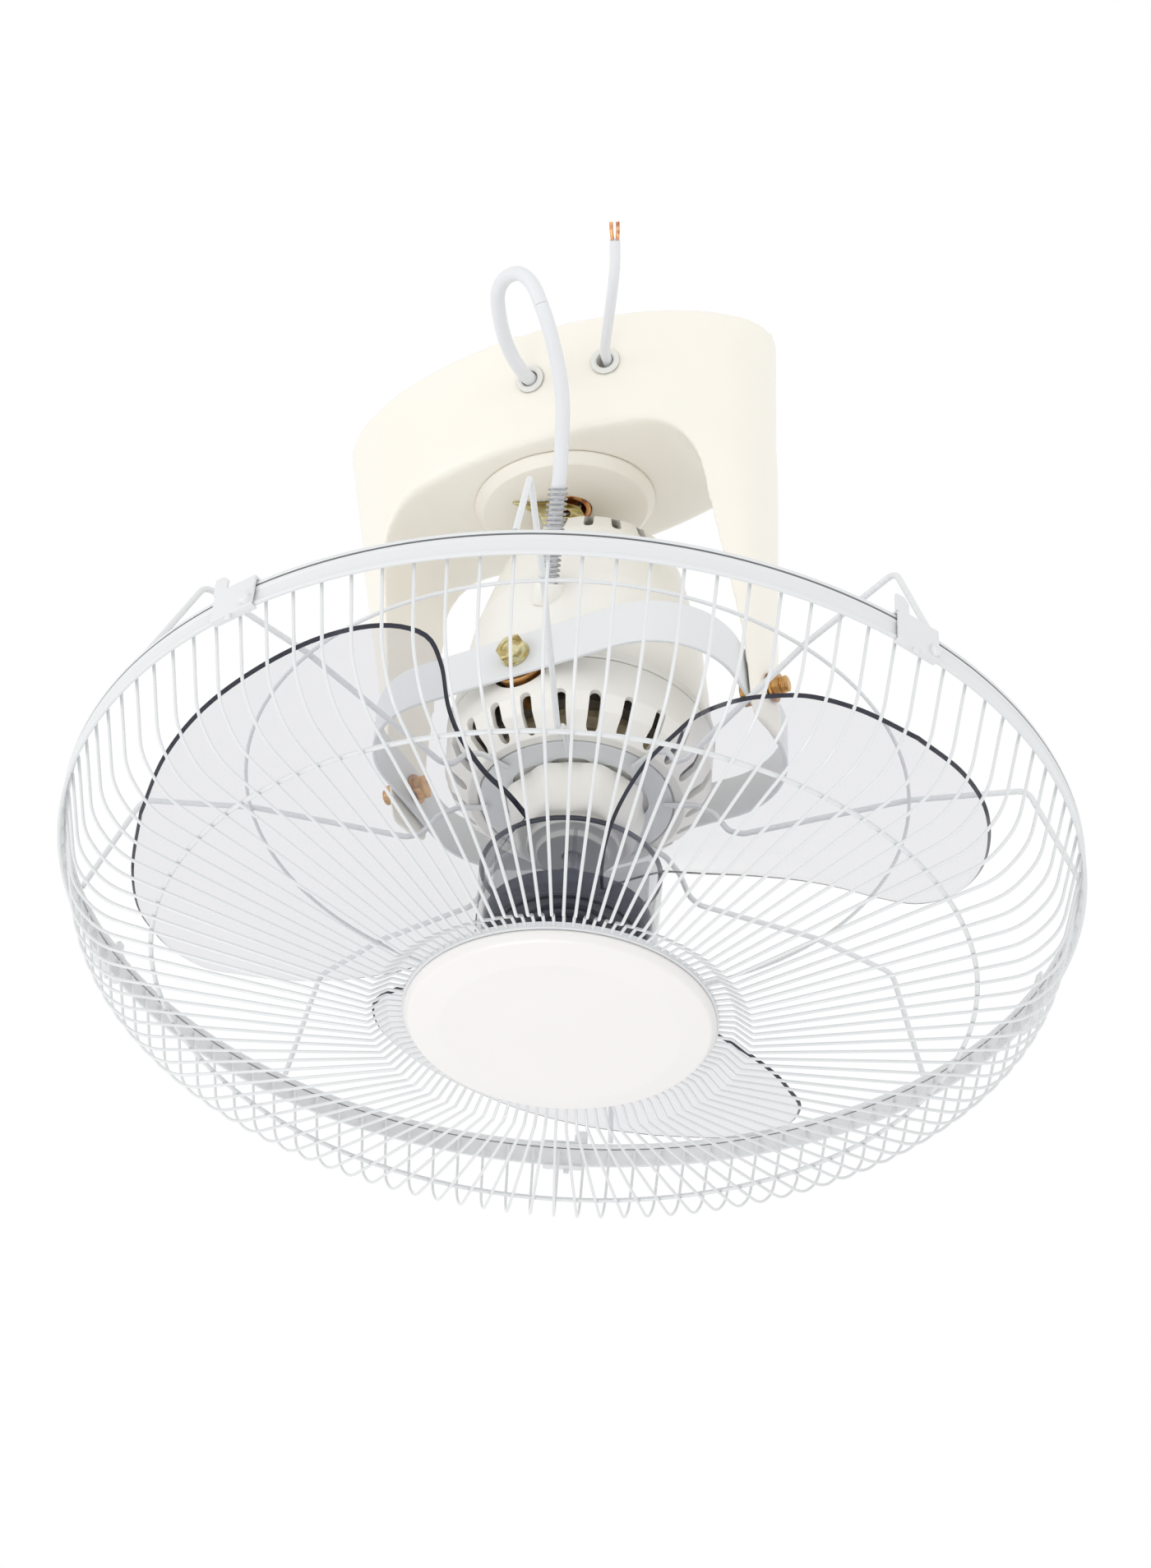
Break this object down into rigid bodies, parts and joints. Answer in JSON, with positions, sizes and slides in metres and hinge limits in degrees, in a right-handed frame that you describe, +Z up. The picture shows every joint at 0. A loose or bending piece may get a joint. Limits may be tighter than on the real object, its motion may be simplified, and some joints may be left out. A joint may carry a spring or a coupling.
{
  "type": "orbital ceiling fan",
  "caption": "Caged ceiling fan whose motor head hangs in a gimbal ring below a two-legged canopy, so that the blades' wire guard can lean round in a circle.",
  "frame": {"origin": "centre of the canopy's ceiling face", "axes": "+Z up into the ceiling, +X along the two leg bolts, -Y towards the side where the cables come out"},
  "size_m": [0.4728, 0.4664, 0.3885],
  "materials": {
    "ivory_plastic": "satin ivory moulded plastic and enamel",
    "white_band": "cool white enamelled sheet steel",
    "white_wire": "glossy white coated steel wire",
    "yellow_zinc": "yellow passivated zinc plate",
    "copper_metal": "copper coloured metal",
    "plain_steel": "plain zinc plated steel",
    "dark_steel": "dark laminated steel",
    "smoky_plastic": "clear smoky grey plastic",
    "white_rubber": "soft white sheath",
    "black_plastic": "black moulded plastic"
  },
  "bodies": {
    "canopy": {"canopy_shell": "ivory_plastic", "ceiling_plate": "plain_steel", "terminal_block": "black_plastic", "run_capacitor": "black_plastic", "pivot_disc": "ivory_plastic", "pivot_socket": "copper_metal", "pivot_spring": "plain_steel", "pivot_star": "yellow_zinc", "grommet_left": "white_rubber", "grommet_right": "white_rubber", "leg_bolt_left": "yellow_zinc", "leg_bolt_right": "yellow_zinc", "loop_cable": "white_rubber", "supply_lead": "white_rubber", "supply_core_live": "copper_metal", "supply_core_neutral": "copper_metal"},
    "ring": {"gimbal_ring": "white_band"},
    "head": {"rear_cover": "ivory_plastic", "front_cover": "ivory_plastic", "trunnion_near": "yellow_zinc", "trunnion_far": "yellow_zinc", "ring_bolt_near": "yellow_zinc", "ring_bolt_far": "yellow_zinc", "stator": "dark_steel", "winding_rear": "copper_metal", "winding_front": "copper_metal", "bearing_front": "dark_steel", "bearing_rear": "dark_steel", "gearbox_case": "black_plastic", "cable_spring": "white_wire", "guard_plate": "white_band", "guard_nut": "ivory_plastic", "rear_spoke_1": "white_wire", "rear_spoke_2": "white_wire", "rear_spoke_3": "white_wire", "rear_spoke_4": "white_wire", "rear_spoke_5": "white_wire", "rear_spoke_6": "white_wire", "rear_spoke_7": "white_wire", "rear_spoke_8": "white_wire", "rear_ring": "white_wire", "rear_rim": "white_wire", "rim_band": "white_band", "front_grille_1": "white_wire", "front_grille_2": "white_wire", "front_grille_3": "white_wire", "front_grille_4": "white_wire", "front_grille_5": "white_wire", "front_grille_6": "white_wire", "front_ring": "white_wire", "front_cap": "ivory_plastic", "rim_clip_1": "white_band", "rim_clip_2": "white_band", "rim_clip_3": "white_band", "rim_clip_4": "white_band", "rim_clip_5": "white_band"},
    "fan": {"rotor_shaft": "plain_steel", "blade_set": "smoky_plastic", "spinner_nut": "smoky_plastic"},
    "crank": {"crank_arm": "yellow_zinc"}
  },
  "joints": [
    {"name": "ring_tilt", "type": "hinge", "parent": "canopy", "child": "ring", "pos_m": [0, 0, -0.2], "axis": [1, 0, 0], "range_deg": [-0.45, 25.55], "deforming": ["loop_cable"]},
    {"name": "head_tilt", "type": "hinge", "parent": "ring", "child": "head", "pos_m": [0, 0, -0.2], "axis": [0, 0.9761, -0.2173], "range_deg": [-14.12, 11.88], "deforming": ["loop_cable"]},
    {"name": "blade_spin", "type": "hinge", "parent": "head", "child": "fan", "pos_m": [0, 0, -0.2], "axis": [0.0196, 0.2173, 0.9759], "continuous": true},
    {"name": "crank_turn", "type": "hinge", "parent": "head", "child": "crank", "pos_m": [0, 0, -0.2], "axis": [0.0196, 0.2173, 0.9759], "continuous": true}
  ],
  "couplings": [
    {"joint": "crank_turn", "follows": "blade_spin", "ratio": 0.01}
  ]
}
